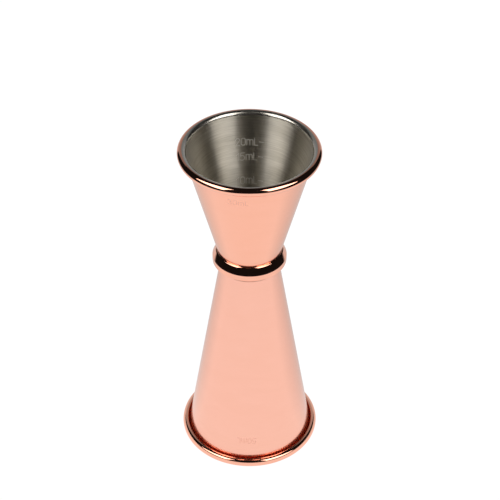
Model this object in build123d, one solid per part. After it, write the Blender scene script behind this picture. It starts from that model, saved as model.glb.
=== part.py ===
from build123d import *
import os
from math import acos, atan, cos, degrees, radians, sin, sqrt, tan

# A double-ended bar jigger: two spun cones brazed together at their closed ends, with a collar.
# Millimetres, +Z up. The origin is on the surface that the lower rim rests on, on the axis of the cones.
# Each cup is drawn mouth up, its closed end at z = 0, and then stood on the joint or turned over under it.

# Whole object
HEIGHT = 120.0
JOINT_Z = 76.0
BRAZE_THICKNESS = 0.4
BRAZE_RADIUS = 6.0
COPPER_THICKNESS = 0.08

# Cups: outer radius of the rim, growth of radius with height, sheet with its copper, inside floor corner
UPPER_RIM_RADIUS = 23.06
UPPER_TAPER = 0.265
UPPER_SHEET = 0.80
LOWER_RIM_RADIUS = 23.86
LOWER_TAPER = 0.161
LOWER_SHEET = 0.60
FLOOR_CORNER = 2.2

# Rolled rims: an open curl with a narrow flat on its crest. The gap is from the wall to the outer side of
# the curl, where its rounded free edge begins.
BEAD_RADIUS = 1.48
LAND_HALF_WIDTH = 0.25
CURL_GAP = 1.05

# Waist collar: from its rounded top a face leans out to an upright lip, and a bevel leads back in under it.
# It is drawn with a plain bore and then cut by the filled cones.
RING_TOP_Z = 80.0
RING_LIP_TOP_Z = 77.3
RING_LIP_BOTTOM_Z = 75.4
RING_RADIUS = 12.33
RING_FACE_LEAN = 25.0
RING_BEVEL_LEAN = 47.0
RING_TOP_EDGE_RADIUS = 0.7
RING_LIP_EDGE_RADIUS = 0.3
RING_DRAWN_BORE = 9.0
FILLED_HEIGHT = 6.0

# Marks. Heights are above the closed end of the cup that carries them, and x is from its middle.
UPPER_FILL_LINES = {"20mL": 33.8, "15mL": 28.8, "10mL": 20.7}
LOWER_FILL_LINES = {"40mL": 62.9}
UPPER_NAME = ("30mL", -3.6, 36.1)
LOWER_NAME = ("50mL", 1.0, 66.2)
INSIDE_TEXT_HEIGHT = 2.4
OUTSIDE_TEXT_HEIGHT = 2.0
STROKE_WIDTH = 0.30
LETTER_GAP = 0.22
FILL_LINE_LENGTH = 1.4
MARK_DEPTH = 0.04
MARK_SKIN = 0.6
GLYPH_WIDTH = {"0": 0.56, "1": 0.34, "2": 0.56, "3": 0.56, "4": 0.60, "5": 0.56, "m": 0.84, "L": 0.44}

STRAIGHT_UP = 90


class Cup:
    """The sizes of one cone and its bead, mouth up, with its closed end at z = 0."""

    def __init__(self, height, rim_radius, taper, sheet):
        self.height = height
        self.taper = taper
        self.sheet = sheet
        self.steel = sheet - COPPER_THICKNESS
        self.slope = atan(taper)
        self.bead_r = rim_radius - BEAD_RADIUS
        self.bead_z = height - sqrt(BEAD_RADIUS**2 - LAND_HALF_WIDTH**2)
        self.copper_face = BEAD_RADIUS - self.sheet
        self.steel_face = BEAD_RADIUS - self.steel
        self.wall_foot = FLOOR_CORNER + self.steel
        self.plated_radius = BEAD_RADIUS - COPPER_THICKNESS
        self.wall_turn = 180 - degrees(self.slope)
        curl_cut = acos((self.steel_face - CURL_GAP) / self.plated_radius)
        self.curl_end = self.wall_turn + degrees(curl_cut) - 360

    def wall(self, depth, z):
        """The radius at height z of the wall surface that passes this far inside the bead's centre."""
        return self.bead_r - depth / cos(self.slope) - self.taper * (self.bead_z - z)

    def on_wall(self, depth, z):
        """A point of that surface in the r, z plane."""
        return (self.wall(depth, z), z)

    def on_bead(self, radius, turn):
        """A point round the bead's centre. turn is in degrees from straight outwards, upwards positive."""
        return (self.bead_r + radius * cos(radians(turn)), self.bead_z + radius * sin(radians(turn)))

    def bead_arc(self, radius, start, end):
        """An arc round the bead's centre from one turn to another."""
        middle = (start + end) / 2
        return ThreePointArc(*[self.on_bead(radius, turn) for turn in (start, middle, end)])

    def free_edge(self, outer, inner):
        """The half-round edge of the curl, between two circles round the bead's centre."""
        half = (outer - inner) / 2
        middle_r, middle_z = self.on_bead(inner + half, self.curl_end)
        onward = radians(self.curl_end - 90)
        tip = (middle_r + half * cos(onward), middle_z + half * sin(onward))
        return ThreePointArc(self.on_bead(outer, self.curl_end), tip, self.on_bead(inner, self.curl_end))


UPPER = Cup(HEIGHT - JOINT_Z - BRAZE_THICKNESS / 2, UPPER_RIM_RADIUS, UPPER_TAPER, UPPER_SHEET)
LOWER = Cup(JOINT_Z - BRAZE_THICKNESS / 2, LOWER_RIM_RADIUS, LOWER_TAPER, LOWER_SHEET)


def spin(section):
    """The solid that a flat section in the r, z plane makes when it is turned round the axis."""
    return revolve(Plane.XZ * section, Axis.Z)


def round_corner(section, corner, radius):
    """Rounds the corner of a flat section that lies nearest to a point."""
    vertex = section.vertices().sort_by_distance((*corner, 0))[0]
    return fillet(vertex, radius)


def steel_cup(cup):
    """The bare steel: floor, wall and open curl. Outside the crest it leaves room for the copper."""
    land_turn = STRAIGHT_UP + degrees(LAND_HALF_WIDTH / BEAD_RADIUS)
    inside_corner = cup.on_wall(BEAD_RADIUS, cup.steel)
    outside_corner = cup.on_wall(cup.steel_face, 0)
    land_edge = (cup.bead_r - LAND_HALF_WIDTH, cup.height)
    crest = (cup.bead_r, cup.height)
    wall_top = cup.on_bead(BEAD_RADIUS, cup.wall_turn)
    section = make_face(
        [
            Line((0, 0), (0, cup.steel)),
            Line((0, cup.steel), inside_corner),
            Line(inside_corner, wall_top),
            ThreePointArc(wall_top, cup.on_bead(BEAD_RADIUS, (cup.wall_turn + land_turn) / 2), land_edge),
            Line(land_edge, crest),
            Line(crest, cup.on_bead(cup.plated_radius, STRAIGHT_UP)),
            cup.bead_arc(cup.plated_radius, STRAIGHT_UP, cup.curl_end),
            cup.free_edge(cup.plated_radius, cup.steel_face),
            cup.bead_arc(cup.steel_face, cup.curl_end, cup.wall_turn),
            Line(cup.on_bead(cup.steel_face, cup.wall_turn), outside_corner),
            Line(outside_corner, (0, 0)),
        ]
    )
    section = round_corner(section, inside_corner, FLOOR_CORNER)
    section = round_corner(section, outside_corner, FLOOR_CORNER + cup.steel / 2)
    return spin(section)


def copper_layer(cup):
    """The copper: from the crest over the bead, round its free edge, through the curl and down the wall."""
    crest = (cup.bead_r, cup.height)
    land_edge = (cup.bead_r + LAND_HALF_WIDTH, cup.height)
    bead_middle = cup.on_bead(BEAD_RADIUS, (STRAIGHT_UP + cup.curl_end) / 2)
    outer_foot = cup.on_wall(cup.copper_face, cup.wall_foot)
    inner_foot = cup.on_wall(cup.steel_face, cup.wall_foot)
    section = make_face(
        [
            Line(crest, land_edge),
            ThreePointArc(land_edge, bead_middle, cup.on_bead(BEAD_RADIUS, cup.curl_end)),
            cup.free_edge(BEAD_RADIUS, cup.copper_face),
            cup.bead_arc(cup.copper_face, cup.curl_end, cup.wall_turn),
            Line(cup.on_bead(cup.copper_face, cup.wall_turn), outer_foot),
            Line(outer_foot, inner_foot),
            Line(inner_foot, cup.on_bead(cup.steel_face, cup.wall_turn)),
            cup.bead_arc(cup.steel_face, cup.wall_turn, cup.curl_end),
            cup.free_edge(cup.plated_radius, cup.steel_face),
            cup.bead_arc(cup.plated_radius, cup.curl_end, STRAIGHT_UP),
            Line(cup.on_bead(cup.plated_radius, STRAIGHT_UP), crest),
        ]
    )
    return spin(section)


def ring_section():
    """The section of the collar as it is drawn, with its top edge rounded and its lip eased."""
    top_radius = RING_RADIUS - (RING_TOP_Z - RING_LIP_TOP_Z) * tan(radians(RING_FACE_LEAN))
    foot_z = RING_LIP_BOTTOM_Z - (RING_RADIUS - RING_DRAWN_BORE) / tan(radians(RING_BEVEL_LEAN))
    lip_bottom = (RING_RADIUS, RING_LIP_BOTTOM_Z)
    lip_top = (RING_RADIUS, RING_LIP_TOP_Z)
    top_edge = (top_radius, RING_TOP_Z)
    bore = [(RING_DRAWN_BORE, RING_TOP_Z), (RING_DRAWN_BORE, foot_z)]
    section = make_face(Polyline(lip_bottom, lip_top, top_edge, *bore, close=True))
    section = round_corner(section, top_edge, RING_TOP_EDGE_RADIUS)
    section = round_corner(section, lip_top, RING_LIP_EDGE_RADIUS)
    return round_corner(section, lip_bottom, RING_LIP_EDGE_RADIUS)


def filled_cone(cup):
    """A plain cone that fills the outside of a cup near the joint, and runs a little past its closed end."""
    low = -FLOOR_CORNER
    high = FILLED_HEIGHT
    outline = [(0, low), cup.on_wall(cup.copper_face, low), cup.on_wall(cup.copper_face, high), (0, high)]
    return spin(make_face(Polyline(*outline, close=True)))


def waist_ring():
    """The collar, cut back to the outside of both cones."""
    return spin(ring_section()) - stand_up(filled_cone(UPPER)) - turn_over(filled_cone(LOWER))


def stand_up(shape):
    """Stands a cup, or part of one, on the joint with its mouth up."""
    return Pos(0, 0, JOINT_Z + BRAZE_THICKNESS / 2) * shape


def turn_over(shape):
    """Hangs a cup, or part of one, under the joint with its mouth down, turned about the Y axis."""
    return Pos(0, 0, JOINT_Z - BRAZE_THICKNESS / 2) * Rot(0, 180, 0) * shape


def arch(left, right, top):
    """A half-round arch from left to right, and its right leg down to the line."""
    shoulder = top - (right - left) / 2
    return [
        ThreePointArc((left, shoulder), ((left + right) / 2, top), (right, shoulder)),
        Line((right, shoulder), (right, 0)),
    ]


def glyph(name, w, h):
    """The centre lines of one character, in a box w wide and h high."""
    r = w / 2
    if name == "0":
        return [
            ThreePointArc((0, h - r), (r, h), (w, h - r)),
            Line((w, h - r), (w, r)),
            ThreePointArc((w, r), (r, 0), (0, r)),
            Line((0, r), (0, h - r)),
        ]
    if name == "1":
        return [Line((w, 0), (w, h)), Line((w, h), (0, 0.74 * h))]
    if name == "2":
        return [
            ThreePointArc((0, h - r), (r, h), (w, h - r)),
            Line((w, h - r), (0, 0)),
            Line((0, 0), (w, 0)),
        ]
    if name == "3":
        waist = (0.4 * w, 0.54 * h)
        return [
            ThreePointArc((0, 0.86 * h), (0.9 * w, 0.80 * h), waist),
            ThreePointArc(waist, (w, 0.25 * h), (0, 0.12 * h)),
        ]
    if name == "4":
        bar = 0.30 * h
        return [
            Line((0.75 * w, 0), (0.75 * w, h)),
            Line((0.75 * w, h), (0, bar)),
            Line((0, bar), (w, bar)),
        ]
    if name == "5":
        return [
            Line((w, h), (0.1 * w, h)),
            Line((0.1 * w, h), (0, 0.56 * h)),
            ThreePointArc((0, 0.56 * h), (w, 0.30 * h), (0, 0.06 * h)),
        ]
    if name == "m":
        x_height = 0.78 * h
        return [Line((0, 0), (0, x_height)), *arch(0, r, x_height), *arch(r, w, x_height)]
    return [Line((0, h), (0, 0)), Line((0, 0), (w, 0))]


def stroke(line):
    """One centre line as a flat stroke with round ends."""
    ends = [Pos(line @ t) * Circle(STROKE_WIDTH / 2) for t in (0, 1)]
    return Sketch() + [trace(line, STROKE_WIDTH), *ends]


def lettering(text, height, fill_line=False):
    """A row of characters about the origin, and after it the short line that a drink is poured to."""
    lines = []
    x = 0.0
    for name in text:
        width = GLYPH_WIDTH[name] * height
        lines += [Pos(x, -height / 2) * line for line in glyph(name, width, height)]
        x += width + STROKE_WIDTH + LETTER_GAP
    if fill_line:
        lines.append(Line((x, 0), (x + FILL_LINE_LENGTH, 0)))
        x += FILL_LINE_LENGTH + STROKE_WIDTH + LETTER_GAP
    width = x - STROKE_WIDTH - LETTER_GAP
    return Pos(-width / 2, 0) * (Sketch() + [stroke(line) for line in lines])


def pulled_through(flat, x, z, reach):
    """Lettering stood up on the axis, to be read from -Y, and pulled forwards, or back if reach is minus."""
    upright = Plane(origin=(x, 0, z), x_dir=(1, 0, 0), z_dir=(0, -1, 0))
    return extrude(upright * flat, reach)


def wall_skin(cup, depth, side):
    """A conical skin with MARK_DEPTH of the wall surface in it, open outwards or inwards (side -1 or 1)."""
    in_metal = depth - side * MARK_DEPTH
    in_air = depth + side * MARK_SKIN
    inner = [cup.on_wall(in_air, z) for z in (cup.wall_foot, cup.bead_z)]
    outer = [cup.on_wall(in_metal, z) for z in (cup.bead_z, cup.wall_foot)]
    return spin(make_face(Polyline(*inner, *outer, close=True)))


def inside_marked(steel, cup, fill_lines):
    """The cup with its fill lines sunk into the inside of the wall, on the side away from the reader."""
    skin = wall_skin(cup, BEAD_RADIUS, 1)
    for text, z in fill_lines.items():
        letters = lettering(text, INSIDE_TEXT_HEIGHT, fill_line=True)
        steel -= pulled_through(letters, 0, z, -2 * cup.bead_r) & skin
    return steel


def outside_marked(copper, cup, text, x, z):
    """The copper with the cup's size sunk into its face, on the side towards the reader."""
    letters = lettering(text, OUTSIDE_TEXT_HEIGHT)
    return copper - (pulled_through(letters, x, z, 2 * cup.bead_r) & wall_skin(cup, cup.copper_face, -1))


nodes = {
    "upper_cup": stand_up(inside_marked(steel_cup(UPPER), UPPER, UPPER_FILL_LINES)),
    "lower_cup": turn_over(inside_marked(steel_cup(LOWER), LOWER, LOWER_FILL_LINES)),
    "upper_cup_plating": stand_up(outside_marked(copper_layer(UPPER), UPPER, *UPPER_NAME)),
    "lower_cup_plating": turn_over(outside_marked(copper_layer(LOWER), LOWER, *LOWER_NAME)),
    "waist_ring": waist_ring(),
    "floor_braze": Pos(0, 0, JOINT_Z) * Cylinder(BRAZE_RADIUS, BRAZE_THICKNESS),
}

os.makedirs("parts", exist_ok=True)
for name, shape in nodes.items():
    export_step(shape, f"parts/{name}.step")
    print(name, round(shape.volume, 1), "mm3", shape.bounding_box().size)
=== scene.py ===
"""A double-ended bar jigger in a plain white studio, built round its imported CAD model."""

from math import acos, atan, atan2, cos, pi, radians, sin, sqrt, tan

import bmesh
import bpy
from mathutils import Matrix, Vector

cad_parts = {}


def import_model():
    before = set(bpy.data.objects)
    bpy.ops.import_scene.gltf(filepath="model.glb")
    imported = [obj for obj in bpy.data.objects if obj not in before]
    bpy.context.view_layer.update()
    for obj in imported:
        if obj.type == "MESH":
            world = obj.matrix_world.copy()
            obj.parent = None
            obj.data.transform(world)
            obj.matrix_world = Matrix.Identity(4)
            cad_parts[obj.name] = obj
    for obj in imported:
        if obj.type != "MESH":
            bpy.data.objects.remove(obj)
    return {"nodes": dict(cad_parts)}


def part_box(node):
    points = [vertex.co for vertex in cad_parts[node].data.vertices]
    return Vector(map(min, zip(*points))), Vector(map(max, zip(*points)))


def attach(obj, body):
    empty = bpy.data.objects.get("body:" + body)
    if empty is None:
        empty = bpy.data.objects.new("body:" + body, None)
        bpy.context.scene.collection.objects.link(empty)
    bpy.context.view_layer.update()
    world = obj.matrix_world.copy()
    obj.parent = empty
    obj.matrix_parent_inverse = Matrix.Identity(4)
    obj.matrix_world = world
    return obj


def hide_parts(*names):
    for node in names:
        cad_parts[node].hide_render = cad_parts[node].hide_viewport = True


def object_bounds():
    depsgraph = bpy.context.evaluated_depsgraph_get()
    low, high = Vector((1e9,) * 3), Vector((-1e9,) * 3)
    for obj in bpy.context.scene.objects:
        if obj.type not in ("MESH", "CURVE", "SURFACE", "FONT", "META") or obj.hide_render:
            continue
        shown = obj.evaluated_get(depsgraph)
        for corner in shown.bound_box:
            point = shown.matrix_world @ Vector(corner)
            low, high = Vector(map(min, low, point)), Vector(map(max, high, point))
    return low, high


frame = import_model()
cad_low, cad_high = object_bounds()

MM = 0.001

# Cups, in millimetres: what the frame's boxes don't say
BEAD_RADIUS = 1.48
UPPER_TAPER = 0.265
UPPER_SHEET = 0.80
LOWER_TAPER = 0.161
LOWER_SHEET = 0.60
COPPER_THICKNESS = 0.08
SKIN_GAP = 0.005
FLOOR_CORNER = 2.2
CURL_GAP = 1.05
LINING_MARGIN = 0.05

# Waist ring section: its top, bottom and outer radius come from the frame
RING_FACE_LEAN = radians(25)
RING_BEVEL_LEAN = radians(47)
RING_FACE_HEIGHT = 2.7
RING_TOP_EDGE_RADIUS = 0.7
RING_LIP_EDGE_RADIUS = 0.3
RING_CLEARANCE = 0.02

# Marks: the heights are above the closed end of the cup that carries them
UPPER_FILL_LINES = {"20mL": 33.8, "15mL": 28.8, "10mL": 20.7}
LOWER_FILL_LINES = {"40mL": 62.9}
UPPER_NAME = ("30mL", -3.6, 36.1)
LOWER_NAME = ("50mL", 1.0, 66.2)
INSIDE_TEXT_HEIGHT = 2.4
OUTSIDE_TEXT_HEIGHT = 2.0
STROKE_WIDTH = 0.30
STROKE_RISE = 0.015
STROKE_SINK = 0.03
STROKE_ACROSS = (-1.0, -0.5, 0.0, 0.5, 1.0)
STROKE_CAP_TURNS = (0.35, 0.7, 1.05, 1.4)
LETTER_GAP = 0.22
FILL_LINE_LENGTH = 1.4
GLYPH_WIDTH = {"0": 0.56, "1": 0.34, "2": 0.56, "3": 0.56, "4": 0.60, "5": 0.56, "m": 0.84, "L": 0.44}

# Mesh fineness
TURNS = 360
ARC_STEP = radians(6)
SMALL_ARC_STEP = 2 * ARC_STEP
WALL_STEPS = 24
FLOOR_STEPS = 6
STROKE_STEP = 0.12
SAME_POINT = 1e-6
SHARP_ANGLE = radians(50)

# Surfaces. Noise is taken to run over NOISE_RANGE. Broad lines are BROAD_STRETCH times as wide as the fine
# ones, round the axis and along the wall, and make up BROAD_SHARE of the mix.
NOISE_RANGE = (0.3, 0.7)
BROAD_STRETCH = (2, 12)
BROAD_SHARE = 0.35
QUARTER_TURN = 0.25
CLOUD_LINES = (3.0, 900.0)
GRAIN_SCALE = 9000.0
GRAIN_BUMP = {"Strength": 0.6, "Distance": 0.00001}
SATIN_FINISH = {"rough": (0.14, 0.18), "anisotropy": 0.5, "lines": (3.0, 3500.0), "line_height": 0.0000005}
BRUSHED_FINISH = {"rough": (0.36, 0.42), "anisotropy": 0.98, "lines": (2.0, 2600.0), "line_height": 0.00001}

# Camera: its distance from the point it looks at, how far it looks down, and the height of that point
CAMERA_DISTANCE = 0.5465
CAMERA_ELEVATION = radians(38.63)
CAMERA_AIM_HEIGHT = 0.07863
CAMERA_SIDE = 0.00015
CAMERA_LENS = 118.66
CAMERA_SENSOR = 36.0
CAMERA_CLIP = (0.01, 20.0)

# Studio: brightness 1 is white
WHITE = 1.03
PURE_WHITE = (1, 1, 1, 1)
WARM_WHITE = (1, 0.99, 0.98, 1)
ROOM_COLOUR = (1, 0.97, 0.94, 1)
ROOM_GLOW = 0.008

# Table, as the metal sees it: brightest towards FLOOR_FRONT, dimmer behind the object, dark past its edge
FLOOR_REACH = 3.0
FLOOR_GAP = 0.0001
FLOOR_FRONT = (-0.113, -0.994, 0.0)
FLOOR_SHADE_FROM = (-1.0, 0.15)
FLOOR_SHADE = (0.64, 1.0)
FLOOR_EDGE = (0.22, 0.32)
FLOOR_EDGE_SHADE = (1.0, 0.01)

# Card behind the object. Its stops are (share of its height, brightness).
CARD_START = (-0.15, 0.16)
CARD_END = (0.14, 0.16)
CARD_HEIGHT = 0.30
CARD_FADE = ((0.0, 0.75), (0.27, 0.70), (0.40, 0.46), (0.60, 0.36), (0.75, 0.26), (1.0, 0.20))

# Low wall round the object, and the lamps on both sides of the camera
LOW_WALL_RADIUS = 0.12
LOW_WALL_HEIGHT = 0.042
LOW_WALL_SIDES = 96
SOFTBOX_AIM_HEIGHT = 0.08
SOFTBOX_DISTANCE = 0.35
SOFTBOX_HALF_ANGLE = radians(24)
SOFTBOX_ELEVATIONS = (radians(29), radians(68))
SOFTBOX_COLOUR = (1.0, 0.96, 0.90)
SOFTBOX_RADIANCE = 3.2


# ---------------------------------------------------------------- sections, in millimetres


class Cup:
    """One cone with its mouth up and its closed end at z = 0. Its height and rim come from the frame.

    copper_face and steel_face say how far inside the bead's centre the wall's outer faces pass. In the curl
    steel_face is also the radius of the steel's inner side.
    """

    def __init__(self, steel_node, copper_node, taper, sheet, flipped):
        low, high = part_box(steel_node)
        self.joint_z = (high.z if flipped else low.z) / MM
        self.flipped = flipped
        self.height = (high.z - low.z) / MM
        self.taper = taper
        self.steel = sheet - COPPER_THICKNESS
        self.slope = atan(taper)
        self.bead_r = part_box(copper_node)[1].x / MM - BEAD_RADIUS
        self.bead_z = self.height - BEAD_RADIUS
        self.copper_face = BEAD_RADIUS - sheet
        self.steel_face = BEAD_RADIUS - self.steel
        self.wall_foot = FLOOR_CORNER + self.steel
        self.wall_turn = pi - self.slope
        self.plated_radius = BEAD_RADIUS - COPPER_THICKNESS
        curl_opening = acos((self.steel_face - CURL_GAP) / self.plated_radius)
        self.curl_end = self.wall_turn + curl_opening - 2 * pi

    def wall(self, depth, z):
        """The radius at height z of the wall surface that passes this far inside the bead's centre."""
        return self.bead_r - depth / cos(self.slope) - self.taper * (self.bead_z - z)

    def on_wall(self, depth, z):
        return (self.wall(depth, z), z)

    def bead_point(self, radius, turn):
        return (self.bead_r + radius * cos(turn), self.bead_z + radius * sin(turn))

    def bead_arc(self, radius, start, end):
        return arc((self.bead_r, self.bead_z), radius, start, end)

    def free_edge(self, outer, inner):
        """The half-round edge of the curl, between two circles round the bead's centre."""
        centre = self.bead_point((outer + inner) / 2, self.curl_end)
        return arc(centre, (outer - inner) / 2, self.curl_end, self.curl_end - pi, SMALL_ARC_STEP)

    def place(self, point):
        """A point of the cup, in millimetres, to its place in the frame, in metres."""
        x, y, z = point
        if self.flipped:
            return Vector((-x, y, self.joint_z - z)) * MM
        return Vector((x, y, self.joint_z + z)) * MM


def arc(centre, radius, start, end, step=ARC_STEP):
    """Points along an arc, both ends included."""
    steps = max(2, round(abs(end - start) / step))
    turns = [start + (end - start) * i / steps for i in range(steps + 1)]
    return [(centre[0] + radius * cos(t), centre[1] + radius * sin(t)) for t in turns]


def line(start, end, steps=1):
    """Points along a straight run, both ends included."""
    (x0, y0), (x1, y1) = start, end
    return [(x0 + (x1 - x0) * i / steps, y0 + (y1 - y0) * i / steps) for i in range(steps + 1)]


def join(*runs):
    """Runs of points as one path, without the points that two runs share."""
    path = []
    for run in runs:
        for point in run:
            if not path or abs(point[0] - path[-1][0]) + abs(point[1] - path[-1][1]) > SAME_POINT:
                path.append(point)
    return path


def corner_arc(cup, depth, floor_z, radius, down):
    """The rounded corner between a floor and a wall surface, from floor to wall, or back if down is true."""
    centre = (cup.wall(depth + radius, floor_z + radius), floor_z + radius)
    ends = (-pi / 2, -cup.slope)
    return arc(centre, radius, *(reversed(ends) if down else ends))


def steel_section(cup):
    """The sheet from the middle of the floor, up the inside, round the curl and down the outside."""
    inside_corner = corner_arc(cup, BEAD_RADIUS, cup.steel, FLOOR_CORNER, down=False)
    outside_corner = corner_arc(cup, cup.steel_face, 0.0, FLOOR_CORNER + cup.steel / 2, down=True)
    inside_bead = cup.bead_arc(BEAD_RADIUS, cup.wall_turn, pi / 2)
    curl_inside = cup.bead_arc(cup.steel_face, cup.curl_end, cup.wall_turn)
    return join(
        line((0.0, cup.steel), inside_corner[0], FLOOR_STEPS),
        inside_corner,
        line(inside_corner[-1], inside_bead[0], WALL_STEPS),
        inside_bead,
        cup.bead_arc(cup.plated_radius, pi / 2, cup.curl_end),
        cup.free_edge(cup.plated_radius, cup.steel_face),
        curl_inside,
        line(curl_inside[-1], outside_corner[0], WALL_STEPS),
        outside_corner,
        [(0.0, 0.0)],
    )


def copper_section(cup):
    """The plating, a closed band that keeps SKIN_GAP from the steel.

    It runs over the bead's outer half, round the curl's edge, through the curl and down the wall.
    """
    outer_radius = cup.plated_radius + SKIN_GAP
    inner_radius = cup.steel_face - SKIN_GAP
    lining_radius = inner_radius - COPPER_THICKNESS
    outer_foot = cup.on_wall(cup.copper_face, cup.wall_foot)
    inner_foot = cup.on_wall(inner_radius, cup.wall_foot)
    return join(
        cup.bead_arc(BEAD_RADIUS, pi / 2, cup.curl_end),
        cup.free_edge(BEAD_RADIUS, lining_radius),
        cup.bead_arc(lining_radius, cup.curl_end, cup.wall_turn),
        line(cup.bead_point(lining_radius, cup.wall_turn), outer_foot, WALL_STEPS),
        line(inner_foot, cup.bead_point(inner_radius, cup.wall_turn), WALL_STEPS),
        cup.bead_arc(inner_radius, cup.wall_turn, cup.curl_end),
        list(reversed(cup.free_edge(outer_radius, inner_radius))),
        cup.bead_arc(outer_radius, cup.curl_end, pi / 2),
    )


def ring_section(upper, lower):
    """The collar, a closed section: from its top down the outside to its foot, and back along both cones."""
    low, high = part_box("waist_ring")
    radius, bottom, top = high.x / MM, low.z / MM, high.z / MM
    foot = (cone_radius(lower, bottom), bottom)
    lip_top = (radius, top - RING_FACE_HEIGHT)
    lip_bottom = (radius, bottom + (radius - foot[0]) / tan(RING_BEVEL_LEAN))
    top_edge = (radius - RING_FACE_HEIGHT * tan(RING_FACE_LEAN), top)
    crest = rounded((0.0, top), top_edge, lip_top, RING_TOP_EDGE_RADIUS)
    return join(
        [(cone_radius(upper, top), top)],
        [point for point in crest if point[0] > cone_radius(upper, top)],
        rounded(top_edge, lip_top, lip_bottom, RING_LIP_EDGE_RADIUS),
        rounded(lip_top, lip_bottom, foot, RING_LIP_EDGE_RADIUS),
        [foot, cone_crossing(upper, lower)],
    )


def rounded(before, corner, after, radius):
    """An arc in place of the corner between two straight runs of an outline that turns to the right."""
    turn_in = atan2(corner[1] - before[1], corner[0] - before[0])
    turn_out = atan2(after[1] - corner[1], after[0] - corner[0])
    cut = radius * tan((turn_in - turn_out) / 2)
    start = (corner[0] - cut * cos(turn_in), corner[1] - cut * sin(turn_in))
    centre = (start[0] + radius * sin(turn_in), start[1] - radius * cos(turn_in))
    return arc(centre, radius, turn_in + pi / 2, turn_out + pi / 2)


def cone_radius(cup, z):
    """The radius of the outside of a cup at a height in the frame, with the ring's clearance."""
    own_z = cup.joint_z - z if cup.flipped else z - cup.joint_z
    return cup.wall(cup.copper_face, own_z) + RING_CLEARANCE


def cone_crossing(upper, lower):
    """Where the outsides of the two cones would meet under the ring."""
    z = upper.joint_z
    z += (cone_radius(lower, z) - cone_radius(upper, z)) / (upper.taper + lower.taper)
    return (cone_radius(upper, z), z)


# ---------------------------------------------------------------- meshes


def lathe(name, section, place, closed, split=None):
    """Turns a section round the axis. split(r0, z0, r1, z1) gives the material slot of one run's faces."""
    bm = bmesh.new()
    rings = []
    for r, z in section:
        if r < SAME_POINT:
            rings.append([bm.verts.new(place((0.0, 0.0, z)))] * TURNS)
            continue
        turns = [2 * pi * i / TURNS for i in range(TURNS)]
        rings.append([bm.verts.new(place((r * cos(t), r * sin(t), z))) for t in turns])
    count = len(rings) if closed else len(rings) - 1
    for k in range(count):
        here, there = rings[k], rings[(k + 1) % len(rings)]
        slot = split(*section[k], *section[(k + 1) % len(rings)]) if split else 0
        for i in range(TURNS):
            j = (i + 1) % TURNS
            corners = list(dict.fromkeys([here[i], here[j], there[j], there[i]]))
            bm.faces.new(corners).material_index = slot
    bmesh.ops.recalc_face_normals(bm, faces=bm.faces)
    return finish_mesh(name, bm)


def new_object(name, data):
    made = bpy.data.objects.new(name, data)
    bpy.context.scene.collection.objects.link(made)
    return made


def finish_mesh(name, bm):
    """The visible piece that a finished bmesh makes."""
    mesh = bpy.data.meshes.new(name)
    bm.to_mesh(mesh)
    bm.free()
    mesh.shade_smooth()
    mesh.set_sharp_from_angle(angle=SHARP_ANGLE)
    piece = new_object(name, mesh)
    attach(piece, "root")
    return piece


def through(a, b, c):
    """Points along the arc from a through b to c."""
    ax, ay, bx, by, cx, cy = *a, *b, *c
    d = 2 * (ax * (by - cy) + bx * (cy - ay) + cx * (ay - by))
    sa, sb, sc = ax * ax + ay * ay, bx * bx + by * by, cx * cx + cy * cy
    ux = (sa * (by - cy) + sb * (cy - ay) + sc * (ay - by)) / d
    uy = (sa * (cx - bx) + sb * (ax - cx) + sc * (bx - ax)) / d
    turn_a, turn_b, turn_c = (atan2(y - uy, x - ux) for x, y in (a, b, c))
    full = 2 * pi
    if (turn_b - turn_a) % full <= (turn_c - turn_a) % full:
        turn_c = turn_a + (turn_c - turn_a) % full
    else:
        turn_c = turn_a - (turn_a - turn_c) % full
    return arc((ux, uy), sqrt((ax - ux) ** 2 + (ay - uy) ** 2), turn_a, turn_c, SMALL_ARC_STEP)


def glyph(name, w, h):
    """The strokes of one character in a box w wide and h high, each as a path."""
    r = w / 2
    if name == "0":
        top = through((0, h - r), (r, h), (w, h - r))
        bottom = through((w, r), (r, 0), (0, r))
        return [join(top, bottom, [(0, h - r)])]
    if name == "1":
        return [[(w, 0), (w, h), (0, 0.74 * h)]]
    if name == "2":
        return [join(through((0, h - r), (r, h), (w, h - r)), [(0, 0), (w, 0)])]
    if name == "3":
        waist = (0.4 * w, 0.54 * h)
        upper = through((0, 0.86 * h), (0.9 * w, 0.80 * h), waist)
        return [join(upper, through(waist, (w, 0.25 * h), (0, 0.12 * h)))]
    if name == "4":
        bar = 0.30 * h
        return [[(0.75 * w, 0), (0.75 * w, h), (0, bar), (w, bar)]]
    if name == "5":
        bowl = through((0, 0.56 * h), (w, 0.30 * h), (0, 0.06 * h))
        return [join([(w, h), (0.1 * w, h)], bowl)]
    if name == "m":
        x_height = 0.78 * h
        shoulder = x_height - r / 2
        first = through((0, shoulder), (r / 2, x_height), (r, shoulder))
        second = through((r, shoulder), (1.5 * r, x_height), (w, shoulder))
        return [[(0, 0), (0, x_height)], join(first, [(r, 0)]), join(second, [(w, 0)])]
    return [[(0, h), (0, 0), (w, 0)]]


def lettering(text, height, fill_line=False):
    """The strokes of a row of characters about the origin, with the short fill line after it."""
    paths = []
    x = 0.0
    for name in text:
        width = GLYPH_WIDTH[name] * height
        paths += [[(x + px, py - height / 2) for px, py in path] for path in glyph(name, width, height)]
        x += width + STROKE_WIDTH + LETTER_GAP
    if fill_line:
        paths.append([(x, 0.0), (x + FILL_LINE_LENGTH, 0.0)])
        x += FILL_LINE_LENGTH + STROKE_WIDTH + LETTER_GAP
    middle = (x - STROKE_WIDTH - LETTER_GAP) / 2
    return [[(px - middle, py) for px, py in path] for path in paths]


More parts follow.
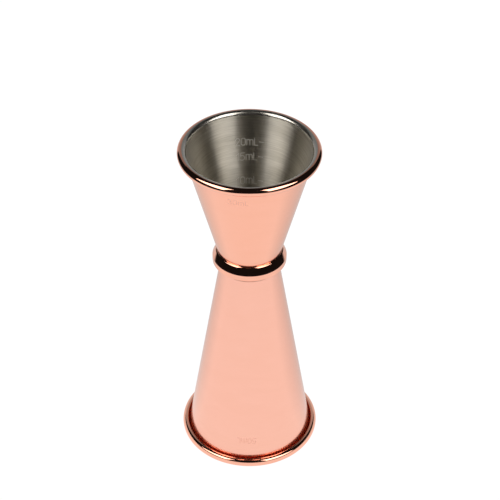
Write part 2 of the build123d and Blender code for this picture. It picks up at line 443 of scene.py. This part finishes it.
def fine(path, step):
    """The same path with points no further apart than step."""
    runs = []
    for a, b in zip(path, path[1:]):
        length = sqrt((b[0] - a[0]) ** 2 + (b[1] - a[1]) ** 2)
        runs.append(line(a, b, max(1, round(length / step))))
    return join(*runs)


def stroke_outline(path):
    """Stations along a stroke, with a round cap at both ends: centre, unit side vector and half width."""
    path = fine(path, STROKE_STEP)
    half = STROKE_WIDTH / 2
    stations = []
    for i, (x, y) in enumerate(path):
        before, after = path[max(i - 1, 0)], path[min(i + 1, len(path) - 1)]
        dx, dy = after[0] - before[0], after[1] - before[1]
        length = sqrt(dx * dx + dy * dy)
        stations.append(((x, y), (-dy / length, dx / length), half))
    caps = []
    for (x, y), (sx, sy), _ in (stations[0], stations[-1]):
        sign = -1 if not caps else 1
        cap = []
        for turn in STROKE_CAP_TURNS:
            ahead = sign * half * sin(turn)
            cap.append(((x + ahead * sy, y - ahead * sx), (sx, sy), half * cos(turn)))
        caps.append(cap)
    return list(reversed(caps[0])) + stations + caps[1]


def add_stroke(bm, path, lift):
    """One stroke as a closed, slightly domed ribbon. lift(x, y, rise) puts a flat point on the cup's wall."""
    rows = []
    for (x, y), (sx, sy), half in stroke_outline(path):
        across = [(side, STROKE_RISE * (1 - side * side)) for side in STROKE_ACROSS]
        row = [bm.verts.new(lift(x + sx * half * s, y + sy * half * s, rise)) for s, rise in across]
        row += [bm.verts.new(lift(x + sx * half * s, y + sy * half * s, -STROKE_SINK)) for s in (1.0, -1.0)]
        rows.append(row)
    for here, there in zip(rows, rows[1:]):
        for k in range(len(here)):
            j = (k + 1) % len(here)
            bm.faces.new([here[k], here[j], there[j], there[k]])
    bm.faces.new(rows[0])
    bm.faces.new(list(reversed(rows[-1])))


def marks(name, cup, labels, inside):
    """Etched lettering on a cup: labels are (text, x, z), read from in front."""
    bm = bmesh.new()
    height = INSIDE_TEXT_HEIGHT if inside else OUTSIDE_TEXT_HEIGHT
    depth = BEAD_RADIUS if inside else cup.copper_face
    side = 1 if inside else -1
    for text, x0, z0 in labels:

        def lift(x, z, rise, x0=x0, z0=z0):
            radius = cup.wall(depth, z0 + z) - side * rise / cos(cup.slope)
            return cup.place((x0 + x, side * sqrt(radius**2 - (x0 + x) ** 2), z0 + z))

        for path in lettering(text, height, fill_line=inside):
            add_stroke(bm, path, lift)
    bmesh.ops.recalc_face_normals(bm, faces=bm.faces)
    return finish_mesh(name, bm)


# ---------------------------------------------------------------- materials


def new_material(name):
    """A material, its node tree and its Principled shader."""
    material = bpy.data.materials.new(name)
    material.use_nodes = True
    tree = material.node_tree
    shader = tree.nodes["Principled BSDF"]
    return material, tree, shader


def blank_material(name):
    """A material and its empty node tree."""
    material = bpy.data.materials.new(name)
    material.use_nodes = True
    material.node_tree.nodes.clear()
    return material, material.node_tree


def add(tree, kind, settings=None, **inputs):
    """A node with its settings made and its inputs set or linked. Underscores in input names are spaces."""
    node = tree.nodes.new(kind)
    for key, value in (settings or {}).items():
        setattr(node, key, value)
    for key, value in inputs.items():
        socket = node.inputs[int(key[1:])] if key[1:].isdigit() else node.inputs[key.replace("_", " ")]
        if isinstance(value, bpy.types.NodeSocket):
            tree.links.new(value, socket)
        else:
            socket.default_value = value
    return node


def maths(tree, operation, **inputs):
    return add(tree, "ShaderNodeMath", {"operation": operation}, **inputs).outputs[0]


def vector_maths(tree, operation, **inputs):
    return add(tree, "ShaderNodeVectorMath", {"operation": operation}, **inputs)


def turned_coordinates(tree, around, along):
    """Coordinates that stretch a pattern round the axis.

    around counts per radian, and along per metre of height and radius together.
    """
    place = add(tree, "ShaderNodeTexCoord").outputs["Object"]
    flat = vector_maths(tree, "MULTIPLY", _0=place, _1=(1, 1, 0)).outputs[0]
    radius = vector_maths(tree, "LENGTH", _0=flat).outputs["Value"]
    heading = vector_maths(tree, "NORMALIZE", _0=flat).outputs[0]
    round_part = vector_maths(tree, "SCALE", _0=heading, Scale=around).outputs[0]
    height = add(tree, "ShaderNodeSeparateXYZ", _0=place).outputs["Z"]
    run = maths(tree, "ADD", _0=height, _1=radius)
    lift = add(tree, "ShaderNodeCombineXYZ", Z=maths(tree, "MULTIPLY", _0=run, _1=along))
    return vector_maths(tree, "ADD", _0=round_part, _1=lift.outputs[0]).outputs[0]


def noise(tree, vector, detail=2.0, roughness=0.5):
    node = add(tree, "ShaderNodeTexNoise", Vector=vector, Scale=1.0, Detail=detail, Roughness=roughness)
    return node.outputs["Fac"]


def map_range(tree, value, source, target):
    (low, high), (to_low, to_high) = source, target
    node = add(tree, "ShaderNodeMapRange", Value=value, _1=low, _2=high, _3=to_low, _4=to_high)
    return node.outputs[0]


def spread(tree, value, low, high):
    """Maps a noise value onto a range."""
    return map_range(tree, value, NOISE_RANGE, (low, high))


def tint(tree, value, dark, light):
    """Two colours mixed by a noise value."""
    node = add(tree, "ShaderNodeMix", {"data_type": "RGBA"}, Factor=spread(tree, value, 0.0, 1.0))
    node.inputs[6].default_value = (*dark, 1)
    node.inputs[7].default_value = (*light, 1)
    return node.outputs[2]


def turned_metal(name, dark, light, rough, anisotropy, lines, line_height):
    """Metal with turning lines round the axis: (around, along) of the lines, and their height in metres."""
    material, tree, shader = new_material(name)
    fine_lines = noise(tree, turned_coordinates(tree, *lines), detail=3.0, roughness=0.6)
    broad_lines = [count / stretch for count, stretch in zip(lines, BROAD_STRETCH)]
    broad = noise(tree, turned_coordinates(tree, *broad_lines))
    mix = add(tree, "ShaderNodeMix", {"data_type": "FLOAT"}, Factor=BROAD_SHARE, A=fine_lines, B=broad)
    both = mix.outputs[0]
    tree.links.new(tint(tree, both, dark, light), shader.inputs["Base Color"])
    tree.links.new(spread(tree, both, *rough), shader.inputs["Roughness"])
    bump = add(tree, "ShaderNodeBump", Strength=1.0, Distance=line_height, Height=fine_lines)
    tree.links.new(bump.outputs[0], shader.inputs["Normal"])
    tangent = add(tree, "ShaderNodeTangent", {"direction_type": "RADIAL", "axis": "Z"})
    tree.links.new(tangent.outputs[0], shader.inputs["Tangent"])
    shader.inputs["Metallic"].default_value = 1.0
    shader.inputs["Anisotropic"].default_value = anisotropy
    shader.inputs["Anisotropic Rotation"].default_value = QUARTER_TURN
    return material


def polished_metal(name, dark, light, rough):
    """Metal polished on a wheel: faint cloudy colour and a roughness that varies a little round the axis."""
    material, tree, shader = new_material(name)
    cloud = noise(tree, turned_coordinates(tree, *CLOUD_LINES))
    tree.links.new(tint(tree, cloud, dark, light), shader.inputs["Base Color"])
    tree.links.new(spread(tree, cloud, *rough), shader.inputs["Roughness"])
    shader.inputs["Metallic"].default_value = 1.0
    return material


def etched_metal(name, dark, light, rough):
    """Metal frosted by etching: a fine grain."""
    material, tree, shader = new_material(name)
    place = add(tree, "ShaderNodeTexCoord").outputs["Object"]
    grain = add(tree, "ShaderNodeTexNoise", Vector=place, Scale=GRAIN_SCALE, Detail=2.0).outputs["Fac"]
    tree.links.new(tint(tree, grain, dark, light), shader.inputs["Base Color"])
    tree.links.new(spread(tree, grain, *rough), shader.inputs["Roughness"])
    bump = add(tree, "ShaderNodeBump", Height=grain, **GRAIN_BUMP)
    tree.links.new(bump.outputs[0], shader.inputs["Normal"])
    shader.inputs["Metallic"].default_value = 1.0
    return material


# ---------------------------------------------------------------- the jigger

UPPER = Cup("upper_cup", "upper_cup_plating", UPPER_TAPER, UPPER_SHEET, flipped=False)
LOWER = Cup("lower_cup", "lower_cup_plating", LOWER_TAPER, LOWER_SHEET, flipped=True)

copper_satin = turned_metal("copper_satin", (0.95, 0.475, 0.34), (0.975, 0.50, 0.37), **SATIN_FINISH)
# Painted light: the same satin copper as the upper cone, made paler in place of the lighter reflection on the
# lower cone.
copper_satin_lower_painted_light = turned_metal(
    "copper_satin_lower_painted_light", (0.95, 0.506, 0.388), (0.975, 0.533, 0.42), **SATIN_FINISH
)
copper_bright = polished_metal("copper_bright", (0.95, 0.48, 0.35), (0.975, 0.50, 0.37), (0.05, 0.08))
# Painted reflection: the deep red of light bounced between copper surfaces in the curl's groove, painted as
# the colour of the curl's edge and inside.
copper_painted_groove_reflection = etched_metal("copper_painted_groove_reflection", (0.90, 0.24, 0.095), (0.97, 0.29, 0.12), (0.36, 0.46))
steel_brushed = turned_metal("steel_brushed", (0.50, 0.475, 0.42), (0.76, 0.73, 0.67), **BRUSHED_FINISH)
steel_bright = polished_metal("steel_bright", (0.58, 0.56, 0.52), (0.66, 0.64, 0.60), (0.20, 0.26))
steel_etched = etched_metal("steel_etched", (0.84, 0.82, 0.78), (0.94, 0.92, 0.89), (0.44, 0.54))
copper_etched = etched_metal("copper_etched", (0.84, 0.42, 0.31), (0.90, 0.46, 0.35), (0.30, 0.40))
braze = etched_metal("braze", (0.60, 0.54, 0.40), (0.78, 0.71, 0.55), (0.35, 0.50))


def dress(piece, slot, *materials):
    for material in materials:
        piece.data.materials.append(material)
    return piece


def on_bead(cup, lined=False):
    """Material slots of a cup: 0 wall and floor, 1 bead, and if lined 2 the curl's edge and inside, which
    carry the painted red reflection of the groove.
    """

    def slot(r0, z0, r1, z1):
        near = sqrt(((r0 + r1) / 2 - cup.bead_r) ** 2 + ((z0 + z1) / 2 - cup.bead_z) ** 2)
        if near > BEAD_RADIUS + LINING_MARGIN:
            return 0
        return 2 if lined and near < BEAD_RADIUS - LINING_MARGIN else 1

    return slot


def build_cup(cup, prefix, fill_lines, name_mark, plating):
    """The visible pieces of one cup: its steel, its plating, and the marks inside and outside."""
    steel = lathe(prefix + "_steel", steel_section(cup), cup.place, closed=False, split=on_bead(cup))
    dress(steel, "steel", steel_brushed, steel_bright)
    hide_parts(prefix)
    split = on_bead(cup, lined=True)
    copper = lathe(prefix + "_copper", copper_section(cup), cup.place, closed=True, split=split)
    # Slot 2, the curl's edge and inside, carries the painted red groove reflection.
    dress(copper, "copper", plating, copper_bright, copper_painted_groove_reflection)
    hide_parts(prefix + "_plating")
    labels = [(text, 0.0, z) for text, z in fill_lines.items()]
    dress(marks(prefix + "_fill_lines", cup, labels, inside=True), "steel", steel_etched)
    dress(marks(prefix + "_size_mark", cup, [name_mark], inside=False), "copper", copper_etched)


build_cup(UPPER, "upper_cup", UPPER_FILL_LINES, UPPER_NAME, copper_satin)
build_cup(LOWER, "lower_cup", LOWER_FILL_LINES, LOWER_NAME, copper_satin_lower_painted_light)

ring = lathe("waist_ring_polished", ring_section(UPPER, LOWER), lambda p: Vector(p) * MM, closed=True)
dress(ring, "ring_copper", copper_bright)
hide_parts("waist_ring")

frame["nodes"]["floor_braze"].data.materials.clear()
frame["nodes"]["floor_braze"].data.materials.append(braze)


# ---------------------------------------------------------------- studio


def ramp(tree, value, *stops):
    """A grey level that follows a value through (value, level) stops, all between 0 and 1."""
    node = add(tree, "ShaderNodeValToRGB", Fac=value)
    elements = node.color_ramp.elements
    while len(elements) < len(stops):
        elements.new(0.5)
    for element, (position, level) in zip(elements, stops):
        element.position = position
        element.color = (level, level, level, 1)
    return node.outputs["Color"]


def shown_and_mirrored(tree, shown, mirrored):
    """One shader for what the camera sees itself, another for what the metal mirrors."""
    seen = add(tree, "ShaderNodeLightPath").outputs["Is Camera Ray"]
    return add(tree, "ShaderNodeMixShader", _0=seen, _1=mirrored, _2=shown).outputs[0]


def glow(tree, colour, strength, kind="ShaderNodeEmission"):
    return add(tree, kind, Color=colour, Strength=strength).outputs[0]


def finish_tree(tree, surface, kind="ShaderNodeOutputMaterial"):
    tree.links.new(surface, add(tree, kind).inputs["Surface"])


def studio_floor():
    """A pale glowing table. In the metal it is dimmer behind the object, and ends at its sides."""
    mesh = bpy.data.meshes.new("studio_floor")
    corners = [(x * FLOOR_REACH, y * FLOOR_REACH, 0) for x, y in ((-1, -1), (1, -1), (1, 1), (-1, 1))]
    mesh.from_pydata(corners, [], [(0, 1, 2, 3)])
    floor = new_object("studio_floor", mesh)
    floor.location.z = cad_low.z - FLOOR_GAP
    material, tree = blank_material("studio_floor")
    place = add(tree, "ShaderNodeTexCoord").outputs["Object"]
    heading = vector_maths(tree, "NORMALIZE", _0=place).outputs[0]
    front = vector_maths(tree, "DOT_PRODUCT", _0=heading, _1=FLOOR_FRONT).outputs["Value"]
    shade = map_range(tree, front, FLOOR_SHADE_FROM, FLOOR_SHADE)
    aside = maths(tree, "ABSOLUTE", _0=add(tree, "ShaderNodeSeparateXYZ", _0=place).outputs["X"])
    edge = map_range(tree, aside, FLOOR_EDGE, FLOOR_EDGE_SHADE)
    mirrored = glow(tree, WARM_WHITE, maths(tree, "MULTIPLY", _0=shade, _1=edge))
    finish_tree(tree, shown_and_mirrored(tree, glow(tree, PURE_WHITE, WHITE), mirrored))
    mesh.materials.append(material)
    return material


def low_wall(material):
    """A low wall round the object, as bright as the table, which only the metal sees."""
    mesh = bpy.data.meshes.new("low_wall")
    turns = [2 * pi * i / LOW_WALL_SIDES for i in range(LOW_WALL_SIDES)]
    ring = [(LOW_WALL_RADIUS * cos(t), LOW_WALL_RADIUS * sin(t)) for t in turns]
    corners = [(x, y, z) for z in (0, LOW_WALL_HEIGHT) for x, y in ring]
    pairs = [(i, (i + 1) % LOW_WALL_SIDES) for i in range(LOW_WALL_SIDES)]
    mesh.from_pydata(corners, [], [(i, j, LOW_WALL_SIDES + j, LOW_WALL_SIDES + i) for i, j in pairs])
    wall = new_object("low_wall", mesh)
    wall.visible_camera = False
    mesh.materials.append(material)


def softbox(name, azimuth):
    """An upright rectangular lamp, azimuth degrees to the right of the camera's side."""
    a = radians(azimuth)
    low, high = (SOFTBOX_DISTANCE * tan(e) for e in SOFTBOX_ELEVATIONS)
    data = bpy.data.lights.new(name, "AREA")
    data.shape = "RECTANGLE"
    data.size = 2 * SOFTBOX_DISTANCE * tan(SOFTBOX_HALF_ANGLE)
    data.size_y = high - low
    data.color = SOFTBOX_COLOUR
    data.energy = SOFTBOX_RADIANCE * pi * data.size * data.size_y
    lamp = new_object(name, data)
    middle = SOFTBOX_AIM_HEIGHT + (low + high) / 2
    lamp.location = (SOFTBOX_DISTANCE * sin(a), -SOFTBOX_DISTANCE * cos(a), middle)
    lamp.rotation_euler = (pi / 2, 0, a)
    lamp.visible_camera = False


def card(name, start, end, height, *levels):
    """An upright card on the table, which only the metal sees. Its brightness follows its height."""
    mesh = bpy.data.meshes.new(name)
    (x0, y0), (x1, y1) = start, end
    mesh.from_pydata([(x0, y0, 0), (x1, y1, 0), (x1, y1, height), (x0, y0, height)], [], [(0, 1, 2, 3)])
    piece = new_object(name, mesh)
    piece.visible_camera = False
    material, tree = blank_material(name)
    place = add(tree, "ShaderNodeTexCoord").outputs["Object"]
    rise = add(tree, "ShaderNodeSeparateXYZ", _0=place).outputs["Z"]
    level = ramp(tree, maths(tree, "DIVIDE", _0=rise, _1=height), *levels)
    finish_tree(tree, glow(tree, WARM_WHITE, level))
    mesh.materials.append(material)


def world():
    """A dark room. The camera itself sees white all round."""
    made = bpy.data.worlds.new("studio")
    made.use_nodes = True
    tree = made.node_tree
    tree.nodes.clear()
    shown = glow(tree, PURE_WHITE, WHITE, "ShaderNodeBackground")
    mirrored = glow(tree, ROOM_COLOUR, ROOM_GLOW, "ShaderNodeBackground")
    finish_tree(tree, shown_and_mirrored(tree, shown, mirrored), "ShaderNodeOutputWorld")
    bpy.context.scene.world = made


low_wall(studio_floor())
world()
card("card_behind", CARD_START, CARD_END, CARD_HEIGHT, *CARD_FADE)
softbox("softbox_left", azimuth=-62)
softbox("softbox_right", azimuth=52)

camera_data = bpy.data.cameras.new("camera")
camera_data.lens = CAMERA_LENS
camera_data.sensor_width = CAMERA_SENSOR
camera_data.clip_start, camera_data.clip_end = CAMERA_CLIP
camera = new_object("camera", camera_data)
camera.location = (
    CAMERA_SIDE,
    -CAMERA_DISTANCE * cos(CAMERA_ELEVATION),
    CAMERA_AIM_HEIGHT + CAMERA_DISTANCE * sin(CAMERA_ELEVATION),
)
camera.rotation_euler = (pi / 2 - CAMERA_ELEVATION, 0, 0)
bpy.context.scene.camera = camera
bpy.context.scene.view_settings.view_transform = "Standard"
